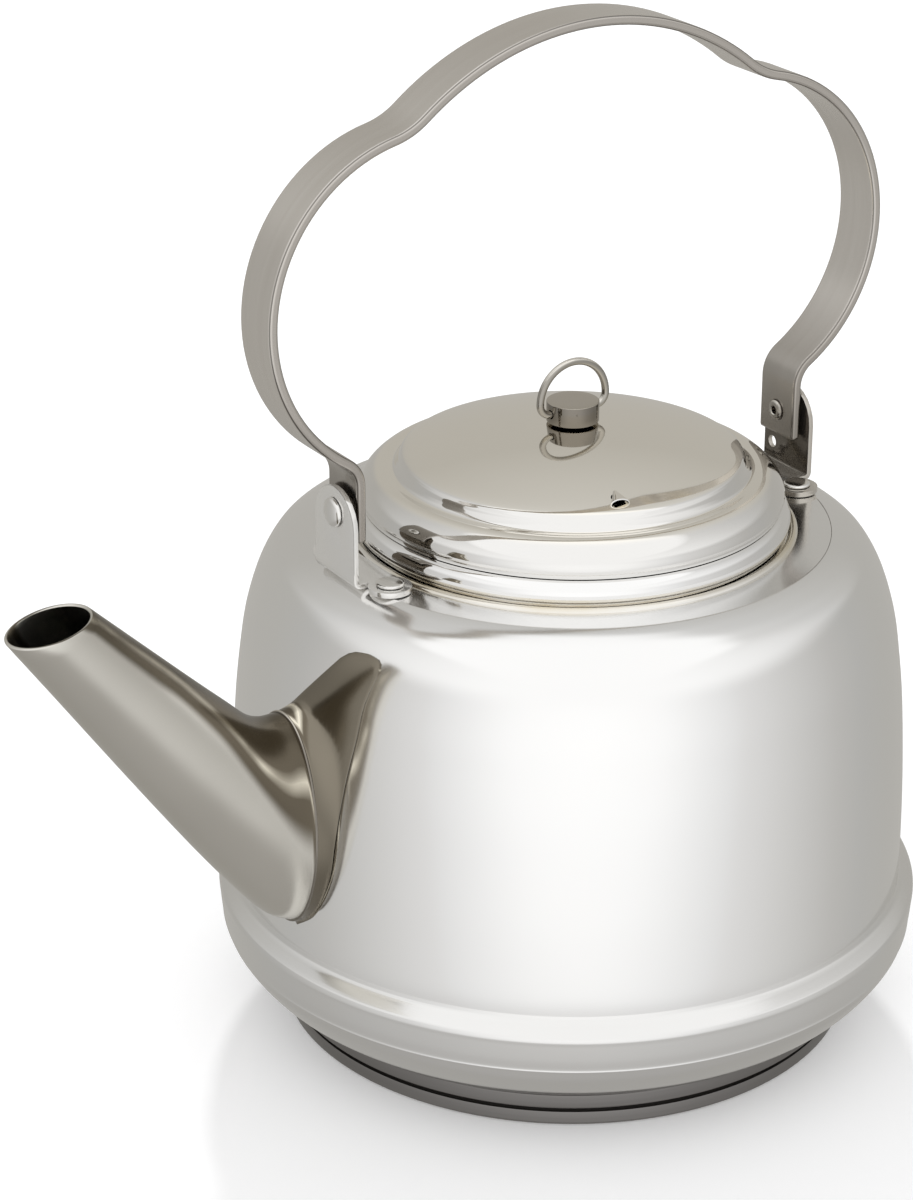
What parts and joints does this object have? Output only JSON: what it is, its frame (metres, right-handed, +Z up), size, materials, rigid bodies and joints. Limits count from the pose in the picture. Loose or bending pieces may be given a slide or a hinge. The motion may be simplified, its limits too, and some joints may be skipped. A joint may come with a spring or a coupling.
{
  "type": "stovetop kettle",
  "caption": "Bulged steel stovetop kettle with a slanted open spout, an upright strap bail handle, a ring-topped lift-off lid and a stepped flat base.",
  "frame": {"origin": "centre of the base disc's underside, where the kettle stands", "axes": "+Z up along the axis of the body; the bail stands in the X-Z plane and hinges about a line along X; the spout points to -X, seven degrees towards -Y, and the rear ear is at +X"},
  "size_m": [0.3472, 0.248, 0.3557],
  "materials": {
    "polished_steel": "mirror-polished sheet",
    "satin_steel": "satin, brushed along the strap",
    "spout_steel": "polished sheet, slightly drawn",
    "bracket_steel": "bright pressed strip, wire and turned steel",
    "fastener_steel": "bright set rivets, washers and screw",
    "base_core": "satin steel skin over an aluminium core"
  },
  "bodies": {
    "kettle_body": {"base_disc": "base_core", "base_plate": "base_core", "bottom_pan": "polished_steel", "body_wall": "polished_steel", "neck_ring": "polished_steel", "spout_tube": "spout_steel", "spout_collar": "spout_steel", "front_bracket": "bracket_steel", "rear_bracket": "bracket_steel", "bracket_rivet_front_right": "fastener_steel", "bracket_rivet_front_left": "fastener_steel", "bracket_rivet_rear_right": "fastener_steel", "bracket_rivet_rear_left": "fastener_steel", "pivot_rivet_front": "fastener_steel", "pivot_rivet_rear": "fastener_steel", "pivot_washer_front": "fastener_steel", "pivot_washer_rear": "fastener_steel"},
    "bail": {"bail_handle": "satin_steel"},
    "lid": {"lid_shell": "polished_steel", "lid_skirt": "spout_steel", "lid_knob": "bracket_steel", "knob_screw": "fastener_steel", "knob_washer": "fastener_steel"},
    "ring": {"knob_ring": "bracket_steel"}
  },
  "joints": [
    {"name": "bail_swing", "type": "hinge", "parent": "kettle_body", "child": "bail", "pos_m": [0, 0, 0.202], "axis": [1, 0, 0], "range_deg": [-106, 106]},
    {"name": "lid_lift", "type": "slide", "parent": "kettle_body", "child": "lid", "axis": [0, 0, 1], "range_m": [0, 0.06]},
    {"name": "ring_swing", "type": "hinge", "parent": "lid", "child": "ring", "pos_m": [0, 0, 0.2191], "axis": [1, 0, 0], "range_deg": [-95, 95]}
  ]
}
